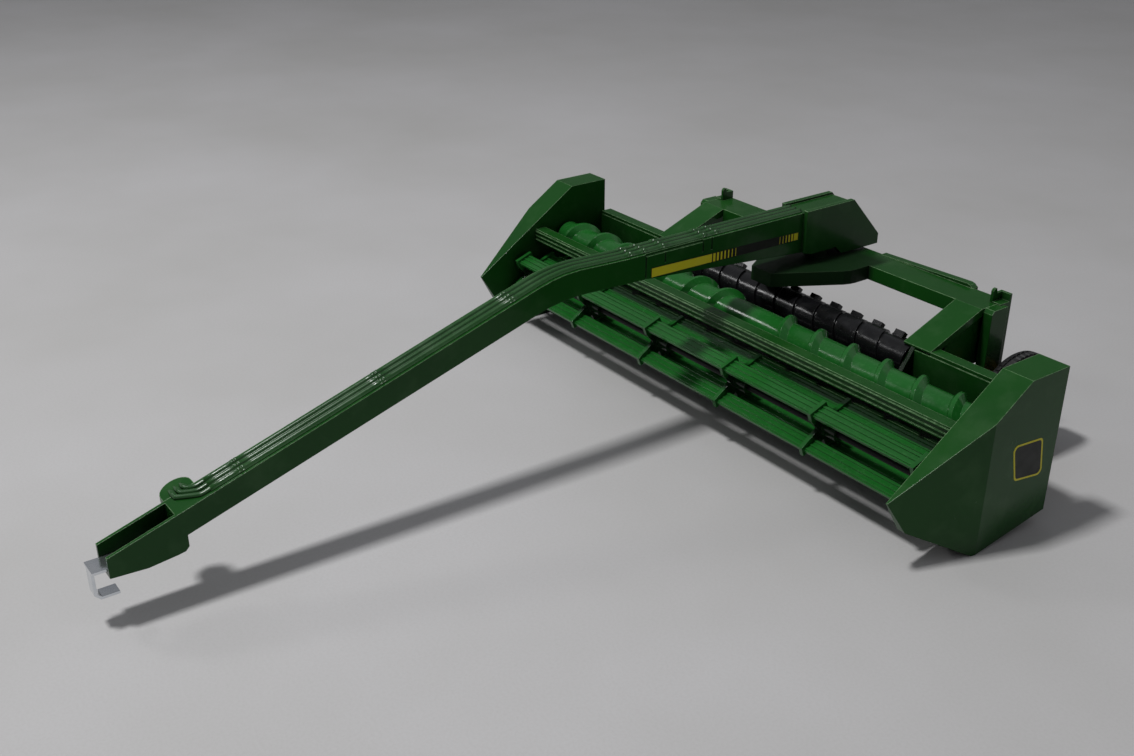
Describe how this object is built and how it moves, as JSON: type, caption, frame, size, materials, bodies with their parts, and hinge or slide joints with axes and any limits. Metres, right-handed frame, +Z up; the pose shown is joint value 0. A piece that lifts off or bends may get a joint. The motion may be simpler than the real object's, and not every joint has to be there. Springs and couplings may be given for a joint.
{
  "type": "toy pull-type windrower",
  "caption": "Die-cast toy mower-conditioner with a long arched drawbar, wide header between two end shields, slatted reel, auger, rolls and carrying wheels.",
  "frame": {"origin": "centre of the bounding box's footprint, on the table top under the toy", "axes": "+Z up, -Y towards the hitch, +X towards the left-hand end shield seen from behind facing the hitch"},
  "size_m": [0.2936, 0.3772, 0.088],
  "materials": {
    "green_paint": "gloss",
    "black_paint": "satin",
    "yellow_plastic": "gloss",
    "tyre_rubber": "matte",
    "black_plastic": "satin",
    "green_plastic": "satin",
    "zinc": "satin"
  },
  "bodies": {
    "header": {"end_shield_left": "green_paint", "roll_cheek_left": "green_paint", "rear_beam_left": "green_paint", "back_wall_left": "green_paint", "wheel_leg_left": "green_paint", "axle_left": "zinc", "end_shield_right": "green_paint", "roll_cheek_right": "green_paint", "rear_beam_right": "green_paint", "back_wall_right": "green_paint", "wheel_leg_right": "green_paint", "axle_right": "zinc", "cross_bar": "green_paint", "feed_pan": "green_paint", "main_frame": "green_paint", "rear_tube": "green_paint", "cutterbar": "black_paint"},
    "tongue": {"tongue_beam": "green_paint", "hose_mouldings": "green_paint", "hose_bend": "green_paint", "hitch_hook": "zinc", "pivot_rivet": "zinc"},
    "reel": {"reel_shaft": "black_paint", "reel_slat_1": "green_plastic", "reel_spider_1": "green_plastic", "reel_slat_2": "green_plastic", "reel_spider_2": "green_plastic", "reel_slat_3": "green_plastic", "reel_spider_3": "green_plastic", "reel_slat_4": "green_plastic", "reel_spider_4": "green_plastic", "reel_spider_5": "green_plastic", "reel_spider_6": "green_plastic"},
    "auger": {"feed_auger": "green_plastic"},
    "upper_roll": {"upper_roll": "black_plastic", "upper_roll_shaft": "zinc"},
    "lower_roll": {"lower_roll": "black_plastic", "lower_roll_shaft": "zinc"},
    "wheel_left": {"tyre_left": "tyre_rubber", "wheel_rim_left": "yellow_plastic"},
    "wheel_right": {"tyre_right": "tyre_rubber", "wheel_rim_right": "yellow_plastic"}
  },
  "joints": [
    {"name": "tongue_swing", "type": "hinge", "parent": "header", "child": "tongue", "pos_m": [0, 0.14775, 0.0653], "axis": [0, 0, 1], "range_deg": [-30, 30]},
    {"name": "reel_spin", "type": "hinge", "parent": "header", "child": "reel", "pos_m": [0, 0.07925, 0.0269], "axis": [1, 0, 0], "continuous": true},
    {"name": "auger_spin", "type": "hinge", "parent": "header", "child": "auger", "pos_m": [0, 0.10355, 0.04195], "axis": [1, 0, 0], "continuous": true},
    {"name": "upper_roll_spin", "type": "hinge", "parent": "header", "child": "upper_roll", "pos_m": [0, 0.12845, 0.04215], "axis": [1, 0, 0], "continuous": true},
    {"name": "lower_roll_spin", "type": "hinge", "parent": "header", "child": "lower_roll", "pos_m": [0, 0.13295, 0.0226], "axis": [1, 0, 0], "continuous": true},
    {"name": "wheel_left_spin", "type": "hinge", "parent": "header", "child": "wheel_left", "pos_m": [0.105, 0.16625, 0.0224], "axis": [1, 0, 0], "continuous": true},
    {"name": "wheel_right_spin", "type": "hinge", "parent": "header", "child": "wheel_right", "pos_m": [-0.105, 0.16625, 0.0224], "axis": [1, 0, 0], "continuous": true}
  ]
}
